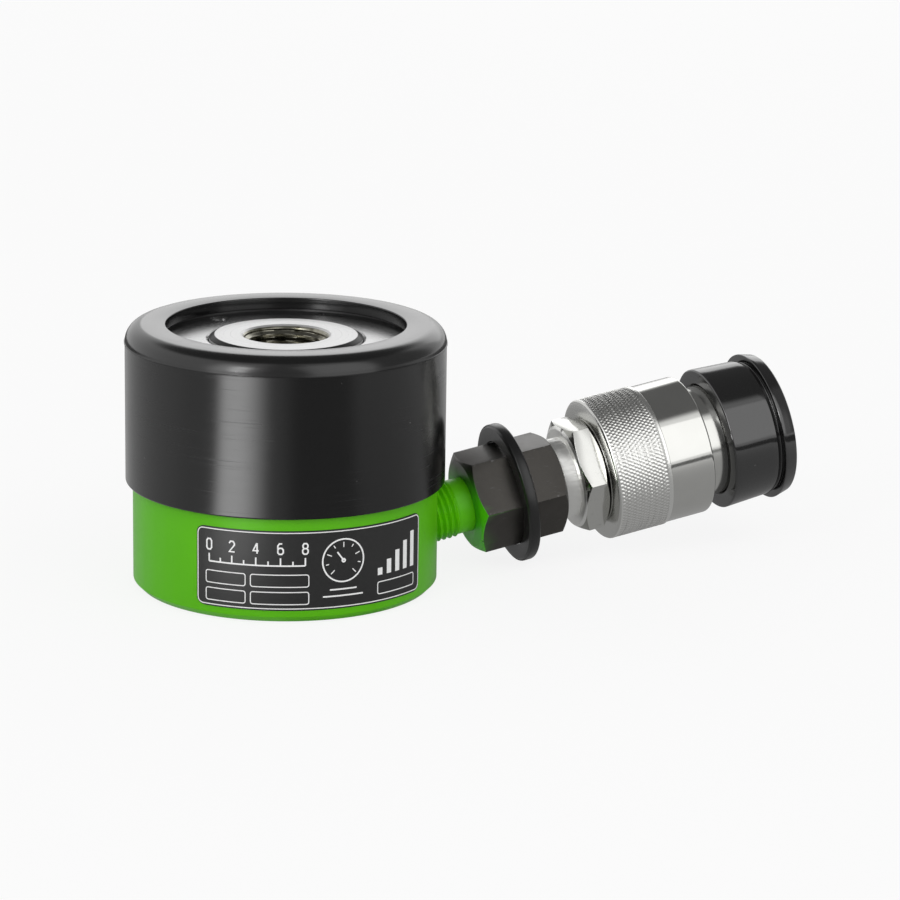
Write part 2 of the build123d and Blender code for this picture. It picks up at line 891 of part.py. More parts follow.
pieces = {
    "cylinder_body": cylinder_body,
    "centre_tube": centre_tube,
    "centre_tube_seal": centre_tube_seal,
    "plunger": plunger,
    "piston_cup_seal": piston_cup_seal,
    "piston_backup_ring": piston_backup_ring,
    "piston_wear_ring": piston_wear_ring,
    "plunger_bore_seal": plunger_bore_seal,
    "plunger_bore_backup": plunger_bore_backup,
    "return_spring": return_spring,
    "gland_ring": gland_ring,
    "gland_bushing": gland_bushing,
    "wiper_ring": wiper_ring,
    "gland_lock_screws": gland_lock_screws,
    "collar_protector": collar_protector,
    "label_plate": label_plate,
    "port_nipple": port_nipple,
    "hex_adapter": hex_adapter,
    "rubber_ring": rubber_ring,
    "coupler_tail": coupler_tail,
    "spigot_seal": spigot_seal,
    "coupler_barrel": coupler_barrel,
    "nose_o_ring": nose_o_ring,
    "coupling_nut": coupling_nut,
    "nut_retaining_ring": nut_retaining_ring,
    "poppet_guide": poppet_guide,
    "poppet": poppet,
    "poppet_seal": poppet_seal,
    "poppet_spring": poppet_spring,
    "dust_cap": dust_cap,
}

os.makedirs("parts", exist_ok=True)
for name, piece in pieces.items():
    piece.part.label = name
    export_step(piece.part, f"parts/{name}.step")
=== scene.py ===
# The dressed hollow plunger cylinder: finishes, threads, knurl, label print, studio and camera.
# Metres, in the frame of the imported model. +Z is up the plunger, and the port leans over +X.
import bmesh
import bpy
import json
import math

from mathutils import Matrix, Vector


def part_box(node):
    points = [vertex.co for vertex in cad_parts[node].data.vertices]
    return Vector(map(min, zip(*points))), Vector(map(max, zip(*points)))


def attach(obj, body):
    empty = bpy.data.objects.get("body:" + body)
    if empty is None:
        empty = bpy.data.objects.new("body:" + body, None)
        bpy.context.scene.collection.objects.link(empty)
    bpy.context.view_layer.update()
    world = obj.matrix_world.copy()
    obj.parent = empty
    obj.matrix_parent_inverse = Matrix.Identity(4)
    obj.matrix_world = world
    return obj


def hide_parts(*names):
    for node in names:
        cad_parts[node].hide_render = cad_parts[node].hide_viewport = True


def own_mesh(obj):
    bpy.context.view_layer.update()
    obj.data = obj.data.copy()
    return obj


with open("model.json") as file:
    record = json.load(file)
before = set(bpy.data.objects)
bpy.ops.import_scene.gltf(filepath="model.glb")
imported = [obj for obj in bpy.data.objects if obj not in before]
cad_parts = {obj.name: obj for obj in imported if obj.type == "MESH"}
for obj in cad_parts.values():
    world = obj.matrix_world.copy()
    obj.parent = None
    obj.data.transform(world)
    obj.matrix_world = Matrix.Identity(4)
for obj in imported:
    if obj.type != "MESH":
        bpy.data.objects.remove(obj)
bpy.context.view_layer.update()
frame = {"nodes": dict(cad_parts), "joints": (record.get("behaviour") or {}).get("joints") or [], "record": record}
nodes = frame["nodes"]
mm = 0.001

joints = {joint["name"]: joint for joint in frame["joints"]}
mounts = {mount["name"]: mount for mount in frame["record"]["mounts"]}

# The port axis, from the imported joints
port_direction = Vector(joints["nut_slide"]["axis"]).normalized()
port_point = Vector(joints["nut_spin"]["pos_m"])
port_origin = port_point - port_direction * (port_point.x / port_direction.x)
port_side = Vector((0, 1, 0))
port_up = port_direction.cross(port_side)
port_turn = Matrix((port_side, port_up, port_direction)).transposed()
port_place = Matrix.Translation(port_origin) @ port_turn.to_4x4()
upright_place = Matrix.Identity(4)
up = Vector((0, 0, 1))
centre = Vector((0, 0, 0))

# Edges that bend more than this stay sharp, on flat pieces and on turned ones
sharp_angle = math.radians(25)
smooth_angle = math.radians(40)

# Threads
nipple_pitch = 25.4 / 18 * mm
nipple_thread_depth = 0.72 * mm
nipple_thread_reach = 6.6 * mm
saddle_pitch = 25.4 / 16 * mm
saddle_thread_depth = 0.9 * mm
saddle_thread_fade = 1.0 * mm
saddle_chamfer = 0.7 * mm
nut_pitch = 1.5 * mm
nut_thread_depth = 0.5 * mm
collar_pitch = 25.4 / 16 * mm
collar_thread_depth = 0.95 * mm
collar_lining = 1.4 * mm
collar_chamfer = 1.0 * mm
paint_gap = 2.4 * mm

# Knurl on the coupling nut
knurl_starts = 112
knurl_slant = 34
knurl_depth = 0.20 * mm
knurl_flat = 0.40
knurl_fade = 0.35 * mm
knurl_front_land = 0.75 * mm
knurl_row_step = 0.24 * mm
knurl_columns = knurl_starts * 5


class Value:
    """A number, colour or vector in a node tree, with Python's operators for Math nodes."""

    def __init__(self, finish, socket):
        self.finish = finish
        self.socket = socket

    def math(self, operation, first, second):
        return self.finish.node("ShaderNodeMath", {"operation": operation}, {0: first, 1: second})

    def __add__(self, other):
        return self.math("ADD", self, other)

    def __radd__(self, other):
        return self.math("ADD", other, self)

    def __sub__(self, other):
        return self.math("SUBTRACT", self, other)

    def __rsub__(self, other):
        return self.math("SUBTRACT", other, self)

    def __mul__(self, other):
        return self.math("MULTIPLY", self, other)

    def over(self, low, high):
        """0 below low, 1 above high, and smooth between them."""
        return self.finish.node(
            "ShaderNodeMapRange",
            {"interpolation_type": "SMOOTHSTEP"},
            {"Value": self, "From Min": low, "From Max": high},
        )

    def under(self, low, high):
        """1 below low, 0 above high, and smooth between them."""
        return 1 - self.over(low, high)


class Finish:
    """A material or the world, whose nodes all come from one method."""

    def __init__(self, owner):
        owner.use_nodes = True
        self.owner = owner
        self.tree = owner.node_tree
        self.tree.nodes.clear()

    def node(self, kind, settings=None, inputs=None, output=0):
        made = self.tree.nodes.new(kind)
        for name, value in (settings or {}).items():
            setattr(made, name, value)
        for name, value in (inputs or {}).items():
            if isinstance(value, Value):
                self.tree.links.new(value.socket, made.inputs[name])
            else:
                made.inputs[name].default_value = value
        return Value(self, made.outputs[output]) if made.outputs else None

    def vector(self, operation, first, second, output=0):
        return self.node(
            "ShaderNodeVectorMath", {"operation": operation}, {0: first, 1: second}, output
        )

    def place(self):
        """The point on the piece, in the row frame at rest."""
        return self.node("ShaderNodeTexCoord", output="Object")

    def facing(self, direction):
        """How far the surface faces a direction, from -1 to 1."""
        normal = self.node("ShaderNodeTexCoord", output="Normal")
        return self.vector("DOT_PRODUCT", normal, direction, "Value")

    def along(self, origin, direction):
        """Distance from the origin along an axis."""
        offset = self.vector("SUBTRACT", self.place(), origin)
        return self.vector("DOT_PRODUCT", offset, direction, "Value")

    def radius(self, origin, direction):
        """Distance from an axis."""
        offset = self.vector("SUBTRACT", self.place(), origin)
        crossed = self.vector("CROSS_PRODUCT", offset, direction)
        return self.node("ShaderNodeVectorMath", {"operation": "LENGTH"}, {0: crossed}, "Value")

    def stretched(self, x, y, z):
        """The place with its axes scaled apart."""
        return self.vector("MULTIPLY", self.place(), (x, y, z))

    def noise(self, where, scale, detail=3.0, roughness=0.55):
        return self.node(
            "ShaderNodeTexNoise",
            None,
            {"Vector": where, "Scale": scale, "Detail": detail, "Roughness": roughness},
        )

    def tool_marks(self, position, scale):
        """Noise along one number, for the fine rings that a lathe leaves."""
        return self.node(
            "ShaderNodeTexNoise",
            {"noise_dimensions": "1D"},
            {"W": position, "Scale": scale, "Detail": 4.0, "Roughness": 0.75},
        )

    def specks(self, scale, size):
        """1 on small round spots that lie apart, and 0 between them."""
        distance = self.node("ShaderNodeTexVoronoi", None, {"Vector": self.place(), "Scale": scale})
        return distance.under(size * 0.6, size)

    def mix(self, factor, first, second):
        """The first colour where the factor is 0 and the second where it is 1."""
        return self.node(
            "ShaderNodeMix",
            {"data_type": "RGBA"},
            {0: factor, 6: first, 7: second},
            2,
        )

    def bump(self, height, distance, strength=1.0):
        return self.node(
            "ShaderNodeBump", None, {"Height": height, "Distance": distance, "Strength": strength}
        )

    def surface(self, inputs):
        shader = self.node("ShaderNodeBsdfPrincipled", None, inputs)
        self.node("ShaderNodeOutputMaterial", None, {"Surface": shader})
        return self.owner


def finish_named(name):
    return Finish(bpy.data.materials.new(name))


def grey(level):
    return (level, level, level, 1)


def green_paint(name, level=1.0):
    """Bright green enamel with a faint orange peel. The collar above it is dark bare steel. A level above 1 paints
    the enamel lighter, as painted light.
    """
    paint = finish_named(name)
    broad = paint.noise(paint.place(), 60, 2)
    fine = paint.noise(paint.place(), 900, 2)
    dust = paint.specks(420, 0.09)
    bare = paint.along(centre, up).over(paint_end, paint_end + 0.4 * mm)
    colour = paint.mix(
        broad, (0.080 * level, 0.395 * level, 0.001, 1), (0.096 * level, 0.435 * level, 0.001, 1)
    )
    colour = paint.mix(dust * 0.3, colour, (0.05, 0.20, 0.002, 1))
    colour = paint.mix(bare, colour, grey(0.045))
    return paint.surface(
        {
            "Base Color": colour,
            "Metallic": bare * 0.5,
            "Roughness": 0.32 + fine * 0.08,
            "IOR": 1.34,
            "Normal": paint.bump(broad * 0.5 + fine, 0.02 * mm, 0.6),
        }
    )


def moulded_black(name):
    """Glossy black moulding, rubbed in fine level scratches and dotted with dust."""
    plastic = finish_named(name)
    rubs = plastic.noise(plastic.stretched(22, 22, 1700), 1, 4, 0.75)
    patches = plastic.noise(plastic.place(), 60, 2)
    scratches = rubs.over(0.50, 0.66) * patches.over(0.42, 0.62)
    dust = plastic.specks(230, 0.05) * plastic.noise(plastic.place(), 60, 1).over(0.5, 0.6)
    colour = plastic.mix(scratches * 0.25, grey(0.005), grey(0.010))
    colour = plastic.mix(dust * 0.5, colour, grey(0.14))
    return plastic.surface(
        {
            "Base Color": colour,
            "Roughness": 0.17 + scratches * 0.09 + patches * 0.05,
            "IOR": 1.58,
            "Normal": plastic.bump(scratches + patches * 3.0, 0.006 * mm, 0.4),
        }
    )


def cap_black(name):
    """Glossier black moulding, with a few scuffs."""
    plastic = finish_named(name)
    scuffs = plastic.noise(plastic.place(), 240, 4, 0.7).over(0.58, 0.72)
    dust = plastic.specks(260, 0.05) * plastic.noise(plastic.place(), 90, 1).over(0.5, 0.6)
    colour = plastic.mix(dust * 0.6, grey(0.005), grey(0.2))
    return plastic.surface(
        {
            "Base Color": colour,
            "Roughness": 0.10 + scuffs * 0.12,
            "IOR": 1.85,
            "Normal": plastic.bump(scuffs, 0.004 * mm, 0.5),
        }
    )


def gland_black(name):
    """Black coated steel, turned smooth, with a strong sheen at a shallow angle."""
    coating = finish_named(name)
    marks = coating.tool_marks(coating.radius(centre, up), 2600)
    cloud = coating.noise(coating.place(), 160, 3)
    return coating.surface(
        {
            "Base Color": coating.mix(cloud, grey(0.14), grey(0.18)),
            "Metallic": 0.85,
            "Roughness": 0.24 + cloud * 0.05,
            "Coat Weight": 1.0,
            "Coat Roughness": 0.20,
            "Coat IOR": 1.6,
            "Normal": coating.bump(marks, 0.005 * mm, 0.3),
        }
    )


def ground_steel(name):
    """Bright ground steel. The plunger's chamfer is painted near black as painted shade for the dark gap round the
    plunger, and its bore has an oily film.
    """
    steel = finish_named(name)
    from_axis = steel.radius(centre, up)
    marks = steel.tool_marks(from_axis, 3200)
    bore = from_axis.under(saddle_radius + 0.2 * mm, saddle_radius + 0.45 * mm)
    # Painted shade: near black and not metallic on the plunger's top chamfer, for the shadow in the gap to the
    # gland.
    chamfer = steel.along(centre, up).over(plunger_side - 0.1 * mm, plunger_side)
    edge = from_axis.over(plunger_edge - 0.1 * mm, plunger_edge + 0.1 * mm) * chamfer
    film = steel.noise(steel.place(), 420, 3)
    colour = steel.mix(marks, grey(0.53), grey(0.59))
    colour = steel.mix(edge, colour, grey(0.022))
    colour = steel.mix(bore, colour, (0.30, 0.29, 0.24, 1))
    colour = steel.mix(bore * film.over(0.45, 0.7), colour, (0.09, 0.085, 0.06, 1))
    return steel.surface(
        {
            "Base Color": colour,
            "Metallic": (1 - edge) * (0.65 + bore * 0.35),
            "Roughness": 0.24 + marks * 0.1 - bore * 0.08,
            "IOR": 1.15,
            "Normal": steel.bump(marks, 0.004 * mm, 0.3),
        }
    )


def black_oxide(name):
    """Black oxide on a hexagon bar, worn at its corners, with green overspray on its rear end, coloured a little
    lighter than the body's enamel as painted light.
    """
    steel = finish_named(name)
    cloud = steel.noise(steel.place(), 260, 4, 0.6)
    wear = steel.noise(steel.place(), 700, 3, 0.7).over(0.54, 0.66)
    from_axis = steel.radius(port_origin, port_direction)
    corner = from_axis.over(adapter_corner - 0.3 * mm, adapter_corner)
    scuffs = steel.noise(steel.stretched(300, 300, 1200), 1, 3, 0.7).over(0.62, 0.72)
    colour = steel.mix(cloud, (0.045, 0.042, 0.038, 1), (0.075, 0.070, 0.064, 1))
    colour = steel.mix(scuffs * 0.25, colour, grey(0.14))
    colour = steel.mix(corner * wear * 0.5, colour, grey(0.28))
    rear = steel.facing(port_direction).under(-0.25, -0.08)
    # Green only up to a height above the port axis, fading out above it.
    below_height = steel.along(port_origin, up).under(9 * mm, 18 * mm)
    spray = rear * below_height
    # Painted light: the overspray green is a little lighter than the body's enamel, for the shaded rear faces.
    colour = steel.mix(spray, colour, (0.070, 0.480, 0.001, 1))
    return steel.surface(
        {
            "Base Color": colour,
            "Metallic": (1 - spray) * 0.75,
            "Roughness": 0.30 + cloud * 0.14,
            "IOR": 1.5,
            "Normal": steel.bump(cloud + scuffs, 0.010 * mm, 0.4),
        }
    )


def ring_rubber(name):
    """Smooth black rubber with a soft shine."""
    rubber = finish_named(name)
    grain = rubber.noise(rubber.place(), 1500, 2)
    cloud = rubber.noise(rubber.place(), 200, 3)
    return rubber.surface(
        {
            "Base Color": rubber.mix(cloud, grey(0.006), grey(0.010)),
            "Roughness": 0.25 + grain * 0.10,
            "IOR": 1.5,
            "Normal": rubber.bump(grain, 0.008 * mm, 0.5),
        }
    )


def seal_rubber(name):
    """Dull moulded rubber."""
    rubber = finish_named(name)
    grain = rubber.noise(rubber.place(), 1800, 2)
    return rubber.surface(
        {
            "Base Color": rubber.mix(grain, grey(0.010), grey(0.02)),
            "Roughness": 0.5 + grain * 0.15,
            "Normal": rubber.bump(grain, 0.010 * mm, 0.5),
        }
    )


def backup_plastic(name):
    """Plain filled plastic with a faint mottle."""
    plastic = finish_named(name)
    mottle = plastic.noise(plastic.place(), 700, 3)
    return plastic.surface(
        {
            "Base Color": plastic.mix(mottle, (0.68, 0.64, 0.55, 1), (0.78, 0.75, 0.68, 1)),
            "Roughness": 0.45 + mottle * 0.1,
            "Normal": plastic.bump(mottle, 0.008 * mm, 0.4),
        }
    )


def bushing_bronze(name):
    """Turned bronze."""
    bronze = finish_named(name)
    marks = bronze.tool_marks(bronze.along(centre, up), 2600)
    return bronze.surface(
        {
            "Base Color": bronze.mix(marks, (0.50, 0.29, 0.09, 1), (0.62, 0.37, 0.14, 1)),
            "Metallic": 1.0,
            "Roughness": 0.28 + marks * 0.15,
            "Normal": bronze.bump(marks, 0.006 * mm, 0.5),
        }
    )


def spring_steel(name):
    """Drawn wire with an oiled dark surface."""
    wire = finish_named(name)
    cloud = wire.noise(wire.place(), 900, 3)
    return wire.surface(
        {
            "Base Color": wire.mix(cloud, grey(0.24), grey(0.36)),
            "Metallic": 1.0,
            "Roughness": 0.28 + cloud * 0.15,
            "Normal": wire.bump(cloud, 0.006 * mm, 0.4),
        }
    )


def plated_steel(name):
    """Bright plate over turned steel, a little warm, with faint rings and smudges, and painted shade on the faces
    turned back towards the body.
    """
    plate = finish_named(name)
    along_port = plate.along(port_origin, port_direction)
    marks = plate.tool_marks(along_port, 2800)
    smudge = plate.noise(plate.place(), 170, 3)
    stains = plate.noise(plate.place(), 520, 4, 0.7).over(0.62, 0.74)
    # Painted shade: faces turned back towards the body are darkened.
    rear = plate.facing(port_direction).under(-0.75, -0.45)
    colour = plate.mix(smudge, (0.60, 0.60, 0.575, 1), (0.67, 0.67, 0.645, 1))
    colour = plate.mix(stains * 0.4, colour, (0.33, 0.33, 0.31, 1))
    colour = plate.mix(rear * 0.8, colour, (0.26, 0.26, 0.235, 1))
    collar = along_port.under(tail_hex_start, tail_hex_start + 0.1 * mm)
    colour = plate.mix(collar, colour, (0.88, 0.88, 0.855, 1))
    return plate.surface(
        {
            "Base Color": colour,
            "Metallic": 1.0,
            "Roughness": 0.10 + smudge * 0.07 + marks * 0.04 + collar * 0.22,
            "Normal": plate.bump(marks, 0.0025 * mm, 0.3),
        }
    )


def plated_knurl(name):
    """The same plate on the nut. The knurled stretch is rougher and painted lighter, as painted light, with
    painted shade down in the knurl's grooves.
    """
    plate = finish_named(name)
    along_port = plate.along(port_origin, port_direction)
    marks = plate.tool_marks(along_port, 2800)
    smudge = plate.noise(plate.place(), 170, 3)
    from_axis = plate.radius(port_origin, port_direction)
    # Painted light: up to the knurl's end the plate is coloured lighter; it is also rougher.
    behind = along_port.under(knurl_end - 0.2 * mm, knurl_end)
    # Painted shade: darker down in the knurl's grooves.
    groove = from_axis.under(knurl_radius - knurl_depth, knurl_radius - 0.25 * knurl_depth) * behind
    colour = plate.mix(smudge, (0.62, 0.62, 0.595, 1), (0.69, 0.69, 0.665, 1))
    colour = plate.mix(behind, colour, (0.86, 0.86, 0.835, 1))
    colour = plate.mix(groove * 0.5, colour, (0.40, 0.40, 0.38, 1))
    return plate.surface(
        {
            "Base Color": colour,
            "Metallic": 1.0,
            "Roughness": 0.07 + smudge * 0.06 + behind * 0.16,
            "Normal": plate.bump(marks, 0.0025 * mm, 0.3),
        }
    )


def label_black(name):
    """Satin black film."""
    film = finish_named(name)
    grain = film.noise(film.place(), 1200, 2)
    return film.surface(
        {
            "Base Color": film.mix(grain, grey(0.014), grey(0.020)),
            "Roughness": 0.38 + grain * 0.1,
            "IOR": 1.45,
            "Normal": film.bump(grain, 0.004 * mm, 0.4),
        }
    )


def label_white(name):
    """White print, a little worn."""
    ink = finish_named(name)
    worn = ink.noise(ink.place(), 1500, 3).over(0.6, 0.75)
    return ink.surface(
        {
            "Base Color": ink.mix(worn * 0.3, grey(0.78), grey(0.45)),
            "Roughness": 0.45 + worn * 0.1,
        }
    )


def reach(node, place):
    """Start, end and outer radius of a CAD node round the place's own z axis."""
    back = place.inverted()
    points = [back @ vertex.co for vertex in nodes[node].data.vertices]
    heights = [point.z for point in points]
    return min(heights), max(heights), max(point.xy.length for point in points)


def section_of(node, place, grain=4e-6):
    """A turned CAD node's outline, as (height, radius) points in order, and whether it closes."""
    back = place.inverted()
    mesh = nodes[node].data
    kinds = []
    kind_of = []
    for vertex in mesh.vertices:
        local = back @ vertex.co
        point = (local.z, local.xy.length)
        found = next(
            (
                index
                for index, kind in enumerate(kinds)
                if abs(kind[0] - point[0]) < grain and abs(kind[1] - point[1]) < grain
            ),
            None,
        )
        if found is None:
            found = len(kinds)
            kinds.append(point)
        kind_of.append(found)
    links = {index: set() for index in range(len(kinds))}
    for edge in mesh.edges:
        first, second = (kind_of[index] for index in edge.vertices)
        if first != second:
            links[first].add(second)
            links[second].add(first)
    ends = [index for index, others in links.items() if len(others) == 1]
    order = [ends[0] if ends else 0]
    while True:
        onward = [index for index in links[order[-1]] if index not in order]
        if not onward:
            break
        order.append(onward[0])
    return [kinds[index] for index in order], not ends


def rounded(section, closed, radius, steps=3, least_turn=20):
    """The section with its sharp corners turned into small arcs."""
    made = []
    count = len(section)
    for index, point in enumerate(section):
        corner = Vector(point)
        if not closed and index in (0, count - 1):
            made.append(point)
            continue
        before = Vector(section[index - 1]) - corner
        after = Vector(section[(index + 1) % count]) - corner
        turn = math.pi - before.angle(after)
        if turn < math.radians(least_turn):
            made.append(point)
            continue
        reach_back = min(radius * math.tan(turn / 2), before.length * 0.45, after.length * 0.45)
        start = corner + before.normalized() * reach_back
        end = corner + after.normalized() * reach_back
        for step in range(steps + 1):
            t = step / steps
            bent = start * (1 - t) ** 2 + corner * 2 * t * (1 - t) + end * t**2
            made.append(tuple(bent))
    return made


def linked(name, mesh, finish, body, replaced=()):
    """Puts a mesh in the scene as a piece that rides on a body."""
    piece = bpy.data.objects.new(name, mesh)
    bpy.context.scene.collection.objects.link(piece)
    mesh.materials.append(finish)
    mesh.shade_smooth()
    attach(piece, body)
    if replaced:
        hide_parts(*replaced)
    return piece


def turned(name, section, closed, columns, place, relief=None, marked=None, step=None):
    """A section turned round the place's z axis. Relief moves the marked stretch in or out."""
    rows = []
    count = len(section)
    for index, (height, radius) in enumerate(section):
        following = section[(index + 1) % count]
        if marked and marked(height, radius) and marked(*following):
            length = math.dist((height, radius), following)
            parts = max(1, round(length / step))
            for part in range(parts):
                onward = Vector((height, radius)).lerp(Vector(following), part / parts)
                rows.append((onward.x, onward.y, True))
        else:
            rows.append((height, radius, False))
    points = []
    for height, radius, raised in rows:
        for column in range(columns):
            angle = math.tau * column / columns
            out = radius + (relief(height, angle, radius) if raised else 0)
            points.append(place @ Vector((out * math.cos(angle), out * math.sin(angle), height)))
    faces = []
    last = len(rows) if closed else len(rows) - 1
    for row in range(last):
        low = row * columns
        high = (row + 1) % len(rows) * columns
        for column in range(columns):
            beside = (column + 1) % columns
            faces.append((low + column, low + beside, high + beside, high + column))
    if not closed:
        faces.append(tuple(range(columns)))
        faces.append(tuple(range((len(rows) - 1) * columns, len(rows) * columns)))
    mesh = bpy.data.meshes.new(name)
    mesh.from_pydata(points, [], faces)
    shape = bmesh.new()
    shape.from_mesh(mesh)
    bmesh.ops.recalc_face_normals(shape, faces=shape.faces)
    shape.to_mesh(mesh)
    shape.free()
    return mesh


def turned_copy(name, node, place, finish, body, slot, edge, columns=240, **detail):
    """A turned CAD node made again with rounded edges, and with relief where it is wanted."""
    section, closed = section_of(node, place)
    section = rounded(section, closed, edge)
    mesh = turned(name, section, closed, columns, place, **detail)
    linked(name, mesh, finish, body, (node,))
    mesh.set_sharp_from_angle(angle=smooth_angle)


def softened(name, node, finish, body, edge=None):
    """A copy of a CAD node, with its sharp edges rounded to catch the light, or left crisp."""
    shape = bmesh.new()
    shape.from_mesh(nodes[node].data)
    bmesh.ops.remove_doubles(shape, verts=shape.verts, dist=0.002 * mm)
    bmesh.ops.dissolve_limit(
        shape, angle_limit=math.radians(0.2), verts=shape.verts, edges=shape.edges
    )
    mesh = bpy.data.meshes.new(name)
    shape.to_mesh(mesh)
    shape.free()
    piece = linked(name, mesh, finish, body, (node,))
    if edge is None:
        mesh.set_sharp_from_angle(angle=sharp_angle)
        return piece
    bevel = piece.modifiers.new("edges", "BEVEL")
    bevel.width = edge
    bevel.segments = 2
    bevel.limit_method = "ANGLE"
    bevel.angle_limit = sharp_angle
    bevel.harden_normals = True
    return piece


def closing_spring(name, node, joint_name, place):
    """A copy of a CAD spring in spring steel, put in place of the CAD node."""
    travel = sum(joints[joint_name]["range_m"])
    low_end, high_end, _ = reach(node, place)
    fixed_end = high_end if travel > 0 else low_end
    keep = 1 - abs(travel) / (high_end - low_end)
    mesh = nodes[node].data.copy()
    mesh.materials.clear()
    piece = linked(name, mesh, finishes["spring_steel"], "root", (node,))
    mesh.set_sharp_from_angle(angle=smooth_angle)
    place @ (up * fixed_end)
    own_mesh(piece)


def recess(mesh, doomed, radius):
    """Takes out the faces on the doomed stretch, and closes the shape on a smaller radius."""
    shape = bmesh.new()
    shape.from_mesh(mesh)
    gone = [face for face in shape.faces if all(doomed(corner.co) for corner in face.verts)]
    bmesh.ops.delete(shape, geom=gone, context="FACES")
    rims = [edge for edge in shape.edges if edge.is_boundary]
    inner = {}
    for corner in (corner for edge in rims for corner in edge.verts):
        if corner not in inner:
            inner[corner] = shape.verts.new(corner.co)
            inner[corner].co.xy = corner.co.xy.normalized() * radius
    inner_rims = []
    for loop in (edge.link_loops[0] for edge in rims):
        first, second = loop.link_loop_next.vert, loop.vert
        shape.faces.new((first, second, inner[second], inner[first]))
        inner_rims.append(shape.edges.get((inner[first], inner[second])))
    bmesh.ops.bridge_loops(shape, edges=inner_rims)
    bmesh.ops.recalc_face_normals(shape, faces=shape.faces)
    shape.to_mesh(mesh)
    shape.free()


def near(value, target, margin=0.05 * mm):
    return abs(value - target) < margin


def ridge(height, angle, pitch):
    """A screw thread's height at a point, 0 in the root and 1 on the crest."""
    phase = (height / pitch - angle / math.tau) % 1
    wave = abs(2 * phase - 1)
    return min(1, max(0, 1.25 * wave - 0.125))


def eased(value, low, high):
    t = min(1, max(0, (value - low) / (high - low)))
    return t * t * (3 - 2 * t)


# Sizes read from the frame
_, nut_end, knurl_radius = reach("coupling_nut", port_place)
saddle_radius = mounts["saddle_thread"]["dims"]["r_mm"] * mm
_, _, nipple_radius = reach("port_nipple", port_place)
_, _, adapter_corner = reach("hex_adapter", port_place)
_, body_high, body_radius = reach("cylinder_body", upright_place)
_, plunger_high, _ = reach("plunger", upright_place)
nut_section, _ = section_of("coupling_nut", port_place)
knurl_heights = [height for height, radius in nut_section if near(radius, knurl_radius)]
knurl_start = min(knurl_heights)
knurl_end = max(knurl_heights)
nut_thread_radius = min(radius for height, radius in nut_section if near(height, nut_end))
tail_vertices = [port_place.inverted() @ vertex.co for vertex in nodes["coupler_tail"].data.vertices]
tail_corner = max(point.xy.length for point in tail_vertices)
tail_hex_start = min(point.z for point in tail_vertices if point.xy.length > 0.85 * tail_corner)
plunger_points = [vertex.co for vertex in nodes["plunger"].data.vertices]
plunger_edge = max(point.xy.length for point in plunger_points if near(point.z, plunger_high))
plunger_side = max(point.z for point in plunger_points if point.xy.length > plunger_edge + 0.1 * mm)
nipple_thread_end = body_radius + nipple_thread_reach
saddle_thread_end = plunger_high - saddle_chamfer
collar_half = mounts["collar_thread"]["dims"]["length_mm"] * mm / 2
collar_low = mounts["collar_thread"]["pos_m"][2] - collar_half
collar_high = body_high - collar_chamfer
paint_end = collar_low - paint_gap

finishes = {
    "body_green": green_paint("green_enamel"),
    # The nipple's green is painted 1.3 times lighter than the body's enamel, as painted light.
    "nipple_green": green_paint("green_overspray_painted_light", 1.3),
    "moulded_black": moulded_black("moulded_black"),
    "cap_black": cap_black("cap_black"),
    "label_black": label_black("label_film"),
    "gland_black": gland_black("gland_coating"),
    "ground_steel": ground_steel("ground_steel"),
    "black_oxide": black_oxide("black_oxide"),
    "ring_rubber": ring_rubber("ring_rubber"),
    "seal_rubber": seal_rubber("seal_rubber"),
    "backup_plastic": backup_plastic("backup_plastic"),
    "bushing_bronze": bushing_bronze("bushing_bronze"),
    "spring_steel": spring_steel("spring_steel"),
    "plated_steel": plated_steel("plated_steel"),
    "plated_knurl": plated_knurl("plated_knurl"),
}

# Every CAD node takes its slot's finish, also those that stay inside
for entry in frame["record"]["subparts"]:
    node = nodes[entry["node"]]
    node.data.materials.clear()
    node.data.materials.append(finishes[entry["material_slot"]])


def knurl_relief(height, angle):
    """Two crossing sets of slanted grooves, which leave a field of small diamonds."""
    round_turn = angle * knurl_starts / math.tau
    climb = math.tan(math.radians(knurl_slant)) * knurl_starts / (math.tau * knurl_radius)
    forward = abs(2 * ((round_turn + height * climb) % 1) - 1)
    backward = abs(2 * ((round_turn - height * climb) % 1) - 1)
    depth = max(0, max(forward, backward) - knurl_flat) / (1 - knurl_flat)
    fade_in = eased(height, knurl_start, knurl_start + knurl_fade)
    front = knurl_end - knurl_front_land
    fade_out = 1 - eased(height, front - knurl_fade, front)
    return -knurl_depth * depth * fade_in * fade_out


def nut_relief(height, angle, radius):
    """The knurl outside, and the thread inside with its crests towards the axis."""
    if near(radius, knurl_radius):
        return knurl_relief(height, angle)
    return -ridge(height, angle, nut_pitch) * nut_thread_depth


def nipple_relief(height, angle, radius):
    """A thread that runs out before the adapter."""
    fade = 1 - eased(height, nipple_thread_end - nipple_pitch, nipple_thread_end)
    return (ridge(height, angle, nipple_pitch) - 0.4) * nipple_thread_depth * fade


def saddle_relief(height, angle, radius):
    """The thread inside the plunger, with its crests towards the axis."""
    fade = 1 - eased(height, saddle_thread_end - saddle_thread_fade, saddle_thread_end)
    return -ridge(height, angle, saddle_pitch) * saddle_thread_depth * fade


def collar_relief(height, angle, radius):
    """The thread round the collar, cut in from its crests."""
    return (ridge(height, angle, collar_pitch) - 1) * collar_thread_depth


def on_collar(point):
    """Whether a point of the body lies on the stretch that carries the thread."""
    margin = 0.1 * mm
    return near(point.xy.length, body_radius) and collar_low - margin < point.z < collar_high + margin


